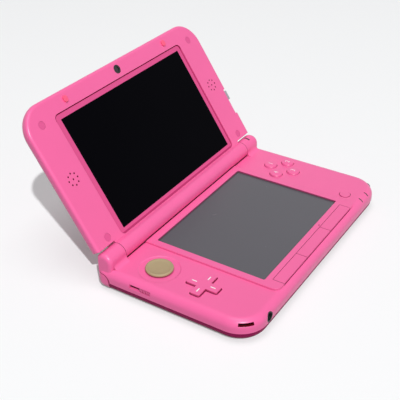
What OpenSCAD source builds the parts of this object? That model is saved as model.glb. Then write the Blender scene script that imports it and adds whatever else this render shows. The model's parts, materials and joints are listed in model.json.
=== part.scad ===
// Clamshell handheld game console, open at its first stop.
// The base lies on the table. The origin is the centre of its underside,
// +Z is up, +X is the player's right and +Y points to the hinge.

/* [Base case] */
// Width of the base
base_w = 156; // [150:0.2:160]
// Depth of the base, front to back
base_d = 91.8; // [91:0.1:94]
// Height of the deck that carries the controls
deck_h = 12.6; // [12.5:0.05:13]
// Height of the seam between back cover and upper case
seam_h = 5.25; // [5.15:0.05:5.35]
// Corner radius at the front, seen from above
front_corner_r = 15; // [12:0.5:18]
// Corner radius at the hinge end, seen from above
rear_corner_r = 5.2; // [5.1:0.1:6]
// Rounding of the deck edge
deck_edge_r = 4.5; // [3.5:0.1:4.6]
// Rounding of the underside edge
under_edge_r = 5.1; // [3:0.1:5.1]
// Wall of the upper case
case_wall = 1.6; // [1.4:0.1:1.8]
// Wall of the back cover
cover_wall = 1.2; // [1:0.1:1.4]
// Rise of the panel round the touch screen
panel_rise = 0.9; // [0.7:0.05:0.95]
// Width of the panel's frame beside the touch screen
panel_side = 4; // [3.4:0.1:4.8]

/* [Hinge and lid] */
// Radius of the hinge ears and the barrel
ear_r = 5; // [4.9:0.05:5.1]
// Height of the hinge axis
hinge_z = 15.6; // [15.5:0.05:15.9]
// Opening angle of the lid in the drawn position
lid_angle = 124.2; // [100:0.1:155]
// Width of the left hinge ear
left_ear_w = 14; // [12:0.1:15]
// Width of the right hinge ear
right_ear_w = 15.1; // [13:0.1:16.5]
// Width of the lid
lid_w = 153.8; // [148:0.2:158]
// Rim of the lid beyond the upper screen's lens
lid_rim = 9.75; // [9:0.05:11]
// Height of the lid's inner face over the hinge axis, lid laid flat
lid_face = 1.2; // [1:0.05:1.25]
// Depth from the lid's inner face to its seam
lid_seam = 1.8; // [1.6:0.1:2]
// Thickness of the closed lid
lid_t = 7.55; // [7:0.05:7.8]
// Gap between the lid and the ears it swings over
ear_gap = 1; // [0.8:0.1:1.4]

/* [Screens] */
// Width of the touch screen opening
touch_w = 85.6; // [80:0.2:87]
// Depth of the touch screen opening
touch_d = 64.4; // [60:0.2:65]
// Distance of the touch screen below its frame
touch_recess = 1; // [0.8:0.1:1.2]
// Width of the upper screen lens
lens_w = 114; // [110:0.5:116]
// Depth of the upper screen lens
lens_d = 70.5; // [67:0.1:72]
// Distance of the lens below the lid face
lens_recess = 0.45; // [0.2:0.05:0.5]

/* [Controls] */
// Radius of the circle pad cap
pad_r = 7.3; // [6.8:0.1:7.8]
// Travel of the circle pad each way
pad_travel = 2.1; // [1:0.1:2.2]
// Span of the direction cross
dpad_span = 17.8; // [16:0.1:18.6]
// Width of an arm of the direction cross
dpad_arm = 5.4; // [4.8:0.1:6]
// Radius of a face button
button_r = 3.75; // [3.4:0.05:3.8]
// Distance of each face button from their common centre
button_pitch = 7.6; // [7.5:0.1:8]
// Radius of the power button
power_r = 3.1; // [2.5:0.1:3.4]
// Gap round every button
button_gap = 0.25; // [0.2:0.05:0.35]
// Radius of the headphone plug's bore
jack_r = 1.78; // [1.6:0.02:1.9]
// Travel of the volume slider
volume_travel = 5.8; // [3:0.1:6]
// Travel of the depth slider
depth_travel = 9; // [5:0.5:9]

/* [Hidden] */
$fn = 72;
over = 1;                     // how far a cut runs past the face it opens
fit = 0.05;                   // running gap round pins and in slits
pink = [0.94, 0.35, 0.58];
deep_pink = [0.6, 0.15, 0.33];

half_w = base_w / 2;
rear_y = base_d / 2;
front_y = -rear_y;
hinge_y = rear_y - ear_r;
panel_z = deck_h + panel_rise;
panel_w = touch_w + 2 * panel_side;
strip_x = (panel_w / 2 + half_w) / 2;  // middle of the deck beside the panel
deck_t = 1.5;                 // thickness of the deck
roof_z = deck_h - deck_t;     // underside of the deck
inner_x = half_w - case_wall;
inner_front_y = front_y + case_wall;
inner_rear_y = rear_y - case_wall;
cover_inset = 0.25;           // the back cover stands in by this much
seam_edge_r = 0.35;           // eased edge of the upper case over the seam
ear_in_left = -half_w + left_ear_w;
ear_in_right = half_w - right_ear_w;
barrel_gap = 0.3;             // between barrel ends and ears
trough_r = ear_r + 0.5;       // the gap round the barrel
trough_wall = 1;
lip_z = 10.7;                 // top of the wall behind the barrel
left_ear_end = [half_w - 1.1, 2.4];   // where each ear ends, and its rounding
right_ear_end = [half_w - 0.4, 3.8];
ear_fillet_r = 3;

// Touch screen and its panel
touch_y = -0.9;
touch_top = panel_z - touch_recess;
touch_t = 0.9;
lcd_t = 2.5;
panel_corner_r = 4;
panel_front_y = front_y + 3;

// Row of three menu buttons below the touch screen
menu_left = 2.7 - touch_w / 2;
menu_right = touch_w / 2 - 2.6;
menu_split_a = menu_left + 25.5;
menu_split_b = menu_right - 26.4;
menu_front_y = panel_front_y;
menu_d = 6.4;

// Places of the controls on the deck
pad_x = 0.45 - strip_x;
pad_y = 16.7;
dish_r = pad_r + 3.8;
dish_floor_r = pad_r + 3.3;
dish_depth = 0.3;
dpad_x = 0.75 - strip_x;
dpad_y = -9.45;
dpad_gap = 0.4;
faces_x = strip_x - 2.05;
faces_y = 10.6;
power_x = strip_x - 9.15;
power_y = -33.9;

// Layers inside the base
plate_z = seam_h + 0.1;       // frame plate that the boards stand on
plate_t = 1;
board_z = 7.9;
board_t = 0.8;
board_top = board_z + board_t;
board_left = panel_w / 2 + 2.2;
board_right = half_w - 6;
board_front = front_y + 10.6;
membrane_t = 0.4;
button_foot = board_top + 1.4;
flange_t = 0.8;
rock_r = 1;                    // ball that the direction cross rocks on
rock_z = board_top + 1.05;

// Battery bay
battery_w = 52;
battery_d = 41;
battery_z = cover_wall;
battery_h = 5.3;
battery_x = -35;
battery_y = -10;
bay_gap = 0.4;
bay_wall = 0.8;

// Card slots and sockets
card_w = 34.6;
card_h = 4;
card_z = 2.2;
card_depth = 30;
slot_wall = 0.8;
sd_w = 24.8;
sd_h = 2.2;
sd_z = seam_h + 0.05;
sd_door_w = 28;
sd_door_h = 3.3;
sd_door_t = 1.1;
jack_x = 2 - strip_x;
jack_z = 8.2;
jack_len = 12;
port_x = half_w - 46;
port_w = 10;
port_h = 4.2;
port_z = 2.4;
ir_x = half_w - 36.5;
ir_w = 6;

// Sliders on the sides
volume_y = 18;
volume_len = 12.6;
volume_z = 8.9;
volume_h = 2;
wireless_y = -22;
wireless_len = 6.4;
wireless_travel = 2.6;
wireless_z = 7.5;

// Stylus along the front, taken out to the right
stylus_y = front_y + 8;
stylus_z = 6.9;
stylus_r = 1.85;
stylus_len = 80;
stylus_gap = 0.25;
holder_t = 0.25;

// Shoulder buttons
shoulder_in = half_w - 30;     // distance of their inner ends from the middle
shoulder_front = rear_y - 9.1;
shoulder_corner_r = 4.2;
shoulder_low = 1.5;
shoulder_top = 9.75;
shoulder_wall = 2;
side_gap = 0.7;               // seam that lets the button swing
seam_gap = 0.3;
shoulder_block_z = 7.2;
shoulder_full_x = 0.3 - ear_in_left;
shoulder_pin_x = shoulder_in + 2.6;
shoulder_pin_y = rear_y - 4.3;
shoulder_pin_r = 0.75;
shoulder_pin_top = 8.1;
cut_rear_y = rear_y - 2.35;    // the opening stays behind the trough here

// Lid, laid flat with its inner face up, measured from the hinge axis
lid_back = lid_face - lid_t;
lid_split = lid_face - lid_seam;
lid_half = lid_w / 2;
lid_corner_r = 15;
lid_edge_r = 5;
lid_face_r = 1.75;
lid_near_y = 3;
lid_near_r = 2;
lid_foot_r = 1;               // corners beside the ears
lid_boss_r = 2.4;
lid_wall = 1.4;
lid_cut_y = ear_r + ear_gap;
lens_y0 = 5.3;
lens_mid = lens_y0 + lens_d / 2;
lens_far = lens_y0 + lens_d;
lid_len = lens_far + lid_rim;  // hinge axis to the far edge
side_x = (lens_w / 2 + lid_half) / 2 - 0.5;  // middle of the strip beside the lens
lens_t = 0.8;
lens_corner_r = 3;
screen_w = lens_w - 7.1;
screen_d = lens_d - 6;
screen_y0 = lens_y0 + 2.8;
notch_y0 = lens_y0 + 15.2;
notch_len = 16.8;
notch_depth = 2.6;
knob_len = 5.8;
camera_r = 2.5;
camera_y = lens_far + 4.75;
bumper_x = lens_w / 2 - 12.6;
screw_x = side_x;
screw_y_far = lens_far - 1.05;
screw_y_near = lens_y0 + 4.3;
screw_cover_r = 2.1;
speaker_x = side_x;
speaker_y = lens_y0 + 38.6;
speaker_r = 0.3 * (lid_half - lens_w / 2);
eye_x = 17.5;
eye_y = lens_far - 2.85;
pin_r = 2.5;
hinge_pin_len = 20;

// Screws
screw_r = 0.8;
screw_head_r = 1.8;
boss_r = 2.1;
boss_x = half_w - 8;
boss_rear = rear_y - 13.7;
boss_spots = [
    [-boss_x, front_y + 19.9], [-boss_x, boss_rear],
    [boss_x, front_y + 21.9], [boss_x, boss_rear]
];
front_boss_r = 1.6;
front_boss_spots = [[28 - half_w, front_y + 3.5], [half_w - 31.5, front_y + 3.5]];
cover_screw_spots = [[-30, 30], [30, 28]];
strap_a = 206;                // where the strap slot starts on the corner
strap_turn = 31;
strap_z = 9.6;
led_spots = [strip_x - 8.7, strip_x - 1.1];
led_w = 0.8;
led_low = 10.8;
led_end_y = front_y + 3.5;
ear_led_x = half_w - 8.5;
ear_led_w = 1.3;

// A rectangle with round corners, centred
module rrect(w, d, r) {
    square([w - 2 * r, d], center = true);
    square([w, d - 2 * r], center = true);
    for (x = [-1, 1], y = [-1, 1])
        translate([x * (w / 2 - r), y * (d / 2 - r)]) circle(r);
}

// Half section of a slab, from its corner's centre out to its face
module edge_profile(reach, h, low_r, top_r) {
    difference() {
        square([reach, h]);
        if (top_r > 0)
            translate([reach - top_r, h - top_r])
                difference() {
                    square(top_r + over);
                    circle(top_r);
                }
        if (low_r > 0)
            translate([reach - low_r, low_r])
                difference() {
                    translate([0, -low_r - over]) square(low_r + over);
                    circle(low_r);
                }
    }
}

// A slab from y0 to y1 whose corner and edge radii differ front to back
module round_slab(w, y0, y1, front_r, back_r, h, low_r = 0, top_r = 0) {
    edge = max(low_r, top_r, 0.5);
    side = y1 - y0 - front_r - back_r;
    hw = w / 2;
    linear_extrude(h) {
        translate([-hw + edge, y0 + front_r]) square([w - 2 * edge, side]);
        translate([-hw + front_r, y0 + edge]) square([w - 2 * front_r, front_r - edge]);
        if (back_r > edge)
            translate([-hw + back_r, y1 - back_r])
                square([w - 2 * back_r, back_r - edge]);
    }
    for (s = [0, 1])
        mirror([s, 0, 0]) {
            translate([hw - front_r, y0 + front_r, 0]) rotate([0, 0, 270])
                rotate_extrude(angle = 90) edge_profile(front_r, h, low_r, top_r);
            translate([hw - back_r, y1 - back_r, 0])
                rotate_extrude(angle = 90) edge_profile(back_r, h, low_r, top_r);
            translate([hw - edge, y1 - back_r, 0]) rotate([90, 0, 0])
                linear_extrude(side) edge_profile(edge, h, low_r, top_r);
        }
    translate([hw - front_r, y0 + edge, 0]) rotate([90, 0, 270])
        linear_extrude(w - 2 * front_r) edge_profile(edge, h, low_r, top_r);
    translate([-hw + back_r, y1 - edge, 0]) rotate([90, 0, 90])
        linear_extrude(w - 2 * back_r) edge_profile(edge, h, low_r, top_r);
}

// A round button with a soft upper edge and a flange below
module round_button(r, top, soft) {
    translate([0, 0, button_foot + flange_t / 2])
        rotate_extrude() edge_profile(r, top - button_foot - flange_t / 2, 0, soft);
    translate([0, 0, button_foot]) cylinder(h = flange_t, r = r + 0.8);
}

// A rod along X
module rod_x(x0, x1, r) {
    translate([x0, 0, 0]) rotate([0, 90, 0]) cylinder(h = x1 - x0, r = r);
}

// A block given by its two corners
module block(low, high) {
    translate(low) cube(high - low);
}

// The outer form of the base, underside to deck
module base_form() {
    round_slab(base_w, front_y, rear_y, front_corner_r, rear_corner_r,
        seam_h, under_edge_r, 0);
    translate([0, 0, seam_h])
        round_slab(base_w, front_y, rear_y, front_corner_r, rear_corner_r,
            deck_h - seam_h, 0, deck_edge_r);
}

// Side view of a shoulder button's opening, front gap and seam gap taken off
module shoulder_side(front, gap) {
    r = shoulder_corner_r - gap;
    y0 = shoulder_front + front;
    z0 = shoulder_low + gap;
    z1 = shoulder_top - gap;
    translate([y0, z0]) square([rear_y + over - y0, z1 - r - z0]);
    translate([y0 + r, z0]) square([rear_y + over - y0 - r, z1 - z0]);
    translate([y0 + r, z1 - r]) circle(r);
}

// The space of the right shoulder button, from x0 outward
module shoulder_space(x0, front, gap) {
    translate([x0, 0, 0]) rotate([90, 0, 90])
        linear_extrude(half_w + over - x0) shoulder_side(front, gap);
}

// Both shoulder openings, lower in front of the trough and full under the ears
module shoulder_openings() {
    for (s = [0, 1])
        mirror([s, 0, 0])
            difference() {
                shoulder_space(shoulder_in, 0, 0);
                block([0, 0, shoulder_block_z], [shoulder_full_x, cut_rear_y, deck_h]);
            }
}

// A screw that points up, head below its seat
module screw_up(length, head_h) {
    cylinder(h = length, r = screw_r);
    translate([0, 0, -head_h]) cylinder(h = head_h, r = screw_head_r);
}

module back_cover() {
    inner = cover_inset + cover_wall;
    color(deep_pink)
        difference() {
            union() {
                difference() {
                    round_slab(base_w - 2 * cover_inset, front_y + cover_inset,
                        rear_y - cover_inset, front_corner_r - cover_inset,
                        rear_corner_r - cover_inset, seam_h, under_edge_r, 0);
                    translate([0, 0, cover_wall])
                        round_slab(base_w - 2 * inner, front_y + inner, rear_y - inner,
                            front_corner_r - inner, rear_corner_r - inner,
                            seam_h, under_edge_r - cover_wall, 0);
                    shoulder_openings();
                }
                for (p = cover_screw_spots)
                    translate([p[0], p[1], 0]) cylinder(h = plate_z, r = boss_r + 0.4);
                for (s = [-1, 1])
                    translate([s * shoulder_pin_x, shoulder_pin_y, 0])
                        cylinder(h = shoulder_low + 1, r = boss_r);
            }
            for (p = cover_screw_spots)
                translate([p[0], p[1], -over]) {
                    cylinder(h = plate_z + 2 * over, r = screw_r + fit);
                    cylinder(h = over + 1.4, r = screw_head_r + 0.2);
                }
            for (s = [-1, 1])
                translate([s * shoulder_pin_x, shoulder_pin_y, 1])
                    cylinder(h = seam_h, r = shoulder_pin_r);
            block([-card_w / 2, inner_rear_y - 3, card_z],
                [card_w / 2, rear_y + over, card_z + card_h]);
            block([port_x - port_w / 2, inner_rear_y - over, port_z],
                [port_x + port_w / 2, rear_y + over, port_z + port_h]);
            stylus_hole();
        }
}

// Round opening on the right side that the stylus leaves through
module stylus_hole() {
    translate([0, stylus_y, stylus_z]) rod_x(inner_x - 4, half_w + over, stylus_r + 0.75);
}

// Frame plate with the battery bay and the posts for the mainboard
module lower_case() {
    gap = 0.3;
    inset = case_wall + gap;
    plate_rear = 33.6;
    bay_w = battery_w + 2 * bay_gap;
    bay_d = battery_d + 2 * bay_gap;
    bay_top = battery_z + battery_h;
    bay_z = battery_z + 0.3;
    color("dimgray")
        difference() {
            union() {
                translate([0, 0, plate_z])
                    round_slab(base_w - 2 * inset, front_y + inset, plate_rear,
                        front_corner_r - inset, 1, plate_t);
                block([battery_x - bay_w / 2 - bay_wall, battery_y - bay_d / 2 - bay_wall,
                        bay_z],
                    [battery_x + bay_w / 2 + bay_wall, battery_y + bay_d / 2 + bay_wall,
                        bay_top + bay_wall]);
                for (p = [[-4, -28], [half_w - 14, -17], [panel_w / 2, 26], [3 - panel_w / 2, 26]])
                    translate([p[0], p[1], plate_z]) cylinder(h = board_z - plate_z, r = 1.5);
                for (p = cover_screw_spots)
                    translate([p[0], p[1], plate_z])
                        cylinder(h = board_z - plate_z - gap, r = boss_r);
            }
            block([battery_x - bay_w / 2, battery_y - bay_d / 2, 0],
                [battery_x + bay_w / 2, battery_y + bay_d / 2, bay_top]);
            block([-card_w / 2 - slot_wall - gap, inner_rear_y - card_depth - slot_wall - gap,
                    0],
                [card_w / 2 + slot_wall + gap, rear_y, board_z]);
            block([inner_x - 27, -sd_w / 2 - slot_wall - gap, 0],
                [half_w, sd_w / 2 + slot_wall + gap, board_z]);
            block([half_w - stylus_len - 4, stylus_y - 2.8, 0],
                [half_w, stylus_y + 2.8, board_z]);
            block([jack_x - 3.5, front_y, 0], [jack_x + 3.5, inner_front_y + jack_len + 0.3, board_z]);
            for (p = boss_spots)
                translate([p[0], p[1], 0]) cylinder(h = board_z, r = screw_r + fit);
            for (p = front_boss_spots)
                translate([p[0], p[1], 0]) cylinder(h = board_z, r = screw_r + fit);
            for (p = cover_screw_spots)
                translate([p[0], p[1], 0]) cylinder(h = board_z, r = screw_r);
        }
}

// Side view of the ear's foot: its upright rear and the fillet to the deck
module ear_foot() {
    reach = ear_r + ear_fillet_r;
    rise = deck_h + ear_fillet_r - hinge_z;
    fillet_y = hinge_y - sqrt(reach * reach - rise * rise);
    translate([hinge_y - 2, deck_h - deck_edge_r])
        square([rear_y - hinge_y + 2, hinge_z - deck_h + deck_edge_r]);
    difference() {
        translate([fillet_y, roof_z]) square([hinge_y - fillet_y, deck_h + ear_fillet_r - roof_z]);
        translate([fillet_y, deck_h + ear_fillet_r]) circle(ear_fillet_r);
    }
}

// One hinge ear at the right end, with the wall that carries it
module ear(inner_end, outer_end) {
    len = outer_end[0] - inner_end;
    end_r = outer_end[1];
    r = rear_corner_r;
    difference() {
        union() {
            translate([inner_end, hinge_y, hinge_z]) rotate([90, 0, 90])
                rotate_extrude() edge_profile(ear_r, len, 0, end_r);
            translate([inner_end, 0, 0]) rotate([90, 0, 90])
                linear_extrude(len - end_r) ear_foot();
            translate([outer_end[0] - end_r, hinge_y, deck_h - deck_edge_r])
                linear_extrude(hinge_z - deck_h + deck_edge_r) ear_end_plan(end_r);
        }
        translate([half_w - r, rear_y - r, 0])
            linear_extrude(deck_h + 20)
                difference() {
                    square(r + 3);
                    circle(r);
                }
    }
}

// Plan of the ear's outer end, both corners rounded
module ear_end_plan(end_r) {
    reach = ear_r - end_r;
    translate([0, -reach]) square([end_r, 2 * reach]);
    for (s = [-1, 1]) translate([0, s * reach]) circle(end_r);
}

// Openings in the deck for the controls
module deck_openings() {
    translate([pad_x, pad_y, deck_h - dish_depth])
        cylinder(h = dish_depth + 0.1, r1 = dish_floor_r, r2 = dish_r + 0.1);
    translate([pad_x, pad_y, 0]) cylinder(h = deck_h, r = pad_r - 2.2);
    translate([dpad_x, dpad_y, roof_z - over])
        linear_extrude(deck_h) dpad_cross(dpad_gap);
    for (i = [0:3])
        translate(face_spot(i)) cylinder(h = panel_z, r = button_r + button_gap);
    translate([power_x, power_y, 0]) cylinder(h = panel_z, r = power_r + button_gap);
    block([menu_left - button_gap, menu_front_y, roof_z - over],
        [menu_right + button_gap, menu_front_y + menu_d + button_gap, panel_z + over]);
    translate([15.4, menu_front_y + menu_d + 1.25, roof_z - over]) cylinder(h = 5, r = 0.45);
    translate([0, touch_y, roof_z])
        linear_extrude(2 * deck_t + over) rrect(touch_w, touch_d, 0.8);
    translate([0, touch_y, roof_z - over])
        linear_extrude(touch_top - roof_z + over) rrect(touch_w + 4.4, touch_d + 1.9, 1);
}

// Openings in the side walls
module side_openings() {
    block([-half_w - over, volume_y - volume_len / 2, volume_z - volume_h / 2],
        [-inner_x + over, volume_y + volume_len / 2, volume_z + volume_h / 2]);
    block([inner_x - over, wireless_y - wireless_len / 2, wireless_z - 1],
        [half_w + over, wireless_y + wireless_len / 2, wireless_z + 1]);
    block([inner_x - over, -sd_w / 2, sd_z], [half_w + over, sd_w / 2, sd_z + sd_h]);
    block([half_w - sd_door_t - 0.1, -sd_door_w / 2 - 0.1, seam_h + 0.1],
        [half_w + over, sd_door_w / 2 + 0.1, seam_h + sd_door_h + 0.7]);
    translate([half_w - sd_door_t / 2, -sd_door_w / 2 - 0.8, seam_h + sd_door_t / 2 + 0.2])
        rotate([-90, 0, 0]) cylinder(h = sd_door_w + 1.6, r = 0.35 + fit);
    translate([jack_x, front_y - over, jack_z]) rotate([-90, 0, 0])
        cylinder(h = case_wall + 2 * over, r = jack_r + 0.3);
    stylus_hole();
    translate([-half_w + front_corner_r, front_y + front_corner_r, strap_z])
        rotate([0, 0, strap_a]) rotate_extrude(angle = strap_turn)
            translate([front_corner_r - case_wall - 2.2, 0])
                square([case_wall + 3, 1.45]);
    block([-card_w / 2, inner_rear_y - 3, card_z],
        [card_w / 2, rear_y + over, card_z + card_h]);
    block([port_x - port_w / 2, inner_rear_y - over, port_z],
        [port_x + port_w / 2, rear_y + over, port_z + port_h]);
    block([ir_x - ir_w / 2, inner_rear_y - over, seam_h + 0.6],
        [ir_x + ir_w / 2, rear_y + over, seam_h + 2.8]);
    for (x = led_spots)
        block([x - led_w / 2, front_y - over, led_low],
            [x + led_w / 2, led_end_y, deck_h + over]);
}

module upper_case() {
    inner_h = roof_z - seam_h;
    color(pink)
        difference() {
            union() {
                difference() {
                    translate([0, 0, seam_h])
                        round_slab(base_w, front_y, rear_y, front_corner_r,
                            rear_corner_r, deck_h - seam_h, seam_edge_r, deck_edge_r);
                    translate([0, 0, seam_h - over])
                        round_slab(base_w - 2 * case_wall, inner_front_y, inner_rear_y,
                            front_corner_r - case_wall, rear_corner_r - case_wall,
                            inner_h + over, 0, deck_edge_r - case_wall);
                }
                panel_frame();
                intersection() {
                    translate([0, hinge_y, hinge_z])
                        rod_x(ear_in_left - 0.5, ear_in_right + 0.5, trough_r + trough_wall);
                    block([-half_w, 0, seam_h], [half_w, inner_rear_y + 0.2, roof_z + 0.2]);
                }
                ear(ear_in_right, right_ear_end);
                mirror([1, 0, 0]) ear(-ear_in_left, left_ear_end);
                for (p = boss_spots)
                    translate([p[0], p[1], plate_z + plate_t])
                        cylinder(h = roof_z - plate_z - plate_t + 0.5, r = boss_r);
                for (p = front_boss_spots)
                    translate([p[0], p[1], plate_z + plate_t])
                        cylinder(h = roof_z - plate_z - plate_t + 0.5, r = front_boss_r);
                for (x = [menu_left - 2.7, menu_right + 2.6])
                    translate([x, front_y + 5.7, board_top + 1.4])
                        cylinder(h = roof_z - board_top - 0.9, r = 1.1);
            }
            translate([0, hinge_y, hinge_z]) rod_x(ear_in_left, ear_in_right, trough_r);
            block([ear_in_left, hinge_y, lip_z], [ear_in_right, rear_y + over, hinge_z + ear_r]);
            block([ear_in_left, hinge_y - trough_r, hinge_z],
                [ear_in_right, rear_y + over, hinge_z + trough_r + 2]);
            shoulder_openings();
            deck_openings();
            side_openings();
            for (p = boss_spots)
                translate([p[0], p[1], 0]) cylinder(h = roof_z - 0.8, r = screw_r);
            for (p = front_boss_spots)
                translate([p[0], p[1], 0]) cylinder(h = roof_z - 0.8, r = screw_r);
            for (s = [-1, 1])
                translate([s * shoulder_pin_x, shoulder_pin_y, 0])
                    cylinder(h = shoulder_pin_top, r = shoulder_pin_r);
            translate([0, hinge_y, hinge_z])
                rod_x(ear_in_left - 9, ear_in_right + 9, pin_r);
            ear_led(ear_led_w / 2, ear_r - 1.4, ear_r + over);
        }
}

// Raised panel round the touch screen
module panel_frame() {
    r = panel_corner_r;
    w = panel_w;
    back_y = hinge_y - 4;
    translate([0, 0, roof_z])
        linear_extrude(panel_z - roof_z) {
            translate([-w / 2, panel_front_y + r]) square([w, back_y - panel_front_y - r]);
            translate([-w / 2 + r, panel_front_y]) square([w - 2 * r, r + over]);
            for (s = [-1, 1])
                translate([s * (w / 2 - r), panel_front_y + r]) circle(r);
        }
}

// A band over the top of the right ear, from one radius to another
module ear_led(half, r0, r1) {
    translate([ear_led_x, hinge_y, hinge_z]) rotate([78, 0, 0]) rotate([90, 0, 90])
        rotate_extrude(angle = 39) translate([r0, -half]) square([r1 - r0, 2 * half]);
}

module cover_screws() {
    color("silver")
        for (p = cover_screw_spots)
            translate([p[0], p[1], 1.4]) screw_up(5, 1);
}

module case_screws() {
    color("silver") {
        for (p = boss_spots)
            translate([p[0], p[1], plate_z]) screw_up(4.4, 1);
        for (p = front_boss_spots)
            translate([p[0], p[1], plate_z]) screw_up(4.4, 1);
    }
}

module touch_panel() {
    color([0.39, 0.39, 0.41])
        translate([0, touch_y, touch_top - touch_t])
            linear_extrude(touch_t) rrect(touch_w + 4, touch_d + 1.4, 0.8);
}

module lower_lcd() {
    color("dimgray")
        translate([0, touch_y, touch_top - touch_t - lcd_t])
            linear_extrude(lcd_t) rrect(touch_w + 3.4, touch_d + 1.4, 0.6);
}

// Board under the touch screen and behind the controls
module mainboard() {
    color("darkgreen")
        difference() {
            translate([0, 0, board_z])
                linear_extrude(board_t) {
                    translate([-board_left, board_front]) square([board_left + board_right, 65]);
                    translate([4 - half_w, dpad_y - 10.7]) square([half_w - 44, 21.4]);
                }
            translate([boss_spots[2][0], boss_spots[2][1], 0])
                cylinder(h = deck_h, r = boss_r + 0.4);
        }
}

module board_chips() {
    color([0.12, 0.12, 0.13]) {
        block([12, -14, board_z - 1.1], [26, 0, board_z]);
        block([13, -30, board_z - 1], [24, -20, board_z]);
        block([30, -32, board_z - 0.9], [36, -26, board_z]);
        block([26, 3, board_z - 0.9], [33, 10, board_z]);
    }
}

module radio_module() {
    color("silver")
        block([33, -20, board_z - 1.4], [47, -6, board_z]);
}

module battery() {
    color("gray")
        translate([battery_x, battery_y, battery_z])
            linear_extrude(battery_h) rrect(battery_w, battery_d, 1.5);
}

module menu_board() {
    color("darkgreen")
        block([menu_left - 4.3, inner_front_y + 0.8, board_top + 0.7],
            [menu_right + 4.2, menu_front_y + menu_d - 0.4, board_top + 1.4]);
}

// Housing of the circle pad, hung from the deck by four posts
module circle_pad_housing() {
    top = 11;
    half = pad_r + 3.1;
    color("dimgray")
        translate([pad_x, pad_y, 0]) {
            difference() {
                translate([0, 0, board_z + 0.2]) linear_extrude(top - board_z - 0.2)
                    rrect(2 * half, 2 * half, 1);
                translate([0, 0, board_top]) linear_extrude(top)
                    rrect(2 * half - 2, 2 * half - 2, 0.6);
            }
            for (x = [-1, 1], y = [-1, 1])
                translate([x * (half - 1.2), y * (half - 1.2), board_top])
                    cylinder(h = roof_z - board_top, r = 1.1);
        }
}

// Carriage that carries the cap from side to side
module circle_pad_slider() {
    z = board_top + 0.3;
    t = 0.8;
    color("dimgray")
        translate([pad_x, pad_y, z])
            difference() {
                linear_extrude(t) rrect(2 * pad_r - 2, 2 * pad_r - 2, 1);
                translate([0, 0, -over]) linear_extrude(t + 2 * over)
                    rrect(4.6, 4.6 + 2 * pad_travel, 1);
            }
}

module circle_pad_cap() {
    low = deck_h - dish_depth + 0.3;
    top = deck_h + 1.5;
    color([0.66, 0.62, 0.48])
        translate([pad_x, pad_y, 0]) {
            difference() {
                translate([0, 0, low]) rotate_extrude() edge_profile(pad_r, top - low, 0.3, 0.7);
                translate([0, 0, top - 0.3]) cylinder(h = over, r1 = pad_r - 1.9, r2 = pad_r + 0.8);
            }
            translate([0, 0, board_top + 0.4]) cylinder(h = low - board_top, r = 2);
        }
}

// Cross outline, grown by a gap
module dpad_cross(grow) {
    a = dpad_arm + 2 * grow;
    b = dpad_span + 2 * grow;
    rrect(a, b, 0.9 + grow);
    rrect(b, a, 0.9 + grow);
}

module dpad_membrane() {
    color("lightgray")
        translate([dpad_x, dpad_y, board_top])
            linear_extrude(membrane_t)
                difference() {
                    rrect(dpad_span - 1.2, dpad_span - 1.2, 2);
                    circle(rock_r + 0.5);
                }
}

// Small ball under the middle of the direction cross
module dpad_pivot() {
    color("lightgray") translate([dpad_x, dpad_y, rock_z]) sphere(rock_r);
}

module dpad() {
    foot = board_top + 1;
    color(pink)
        translate([dpad_x, dpad_y, 0])
            difference() {
                union() {
                    translate([0, 0, foot + 0.4])
                        linear_extrude(deck_h + 1 - foot - 0.4) dpad_cross(0);
                    translate([0, 0, foot]) cylinder(h = 0.8, r = dpad_span / 2 - 1.7);
                }
                translate([0, 0, rock_z]) sphere(rock_r + fit);
            }
}

module button_membrane() {
    color("lightgray")
        translate([faces_x, faces_y, board_top])
            linear_extrude(membrane_t) rrect(23, 23, 4);
}

// Place of face button i, counted from the rear one clockwise
function face_spot(i) = [
    faces_x + button_pitch * sin(90 * i),
    faces_y + button_pitch * cos(90 * i),
    0
];

module face_button(i) {
    color(pink) translate(face_spot(i)) round_button(button_r, deck_h + 1.3, 0.5);
}

module power_button() {
    color(pink)
        translate([power_x, power_y, 0]) round_button(power_r, deck_h + 0.35, 0.3);
}

module menu_membrane() {
    color("lightgray")
        block([menu_left - 1.5, menu_front_y + 0.4, board_top + 1.4],
            [menu_right + 1.4, menu_front_y + menu_d - 0.6, board_top + 1.7]);
}

// One menu button between two edges of the row
module menu_button(x0, x1) {
    foot = board_top + 2;
    color(pink) {
        block([x0, menu_front_y + 0.2, foot + 0.3], [x1, menu_front_y + menu_d, panel_z]);
        block([x0 + 2, menu_front_y + 1.5, foot], [x1 - 2, menu_front_y + menu_d - 1.5, foot + 0.3]);
    }
}

module tact_switches() {
    color("silver") {
        block([power_x - 1.6, power_y - 1.1, board_top], [power_x + 1.6, power_y + 1.9, board_top + 0.5]);
        for (s = [-1, 1])
            block([s * (half_w - 14) - 2, shoulder_front + 1.2, cover_wall],
                [s * (half_w - 14) + 2, shoulder_front + 3.5, 4.6]);
    }
}

// Socket that takes a game card from behind
module card_slot() {
    color("silver")
        difference() {
            block([-card_w / 2 - slot_wall, inner_rear_y - card_depth - slot_wall, card_z - slot_wall],
                [card_w / 2 + slot_wall, inner_rear_y - 2.6, card_z + card_h + slot_wall]);
            block([-card_w / 2, inner_rear_y - card_depth, card_z],
                [card_w / 2, rear_y, card_z + card_h]);
        }
}

// Socket for the memory card, behind its door
module memory_card_slot() {
    color("silver")
        difference() {
            block([inner_x - 26.5, -sd_w / 2 - slot_wall, sd_z - 0.4],
                [inner_x, sd_w / 2 + slot_wall, sd_z + sd_h + 0.3]);
            block([inner_x - 25.5, -sd_w / 2, sd_z], [half_w, sd_w / 2, sd_z + sd_h]);
        }
}

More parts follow.
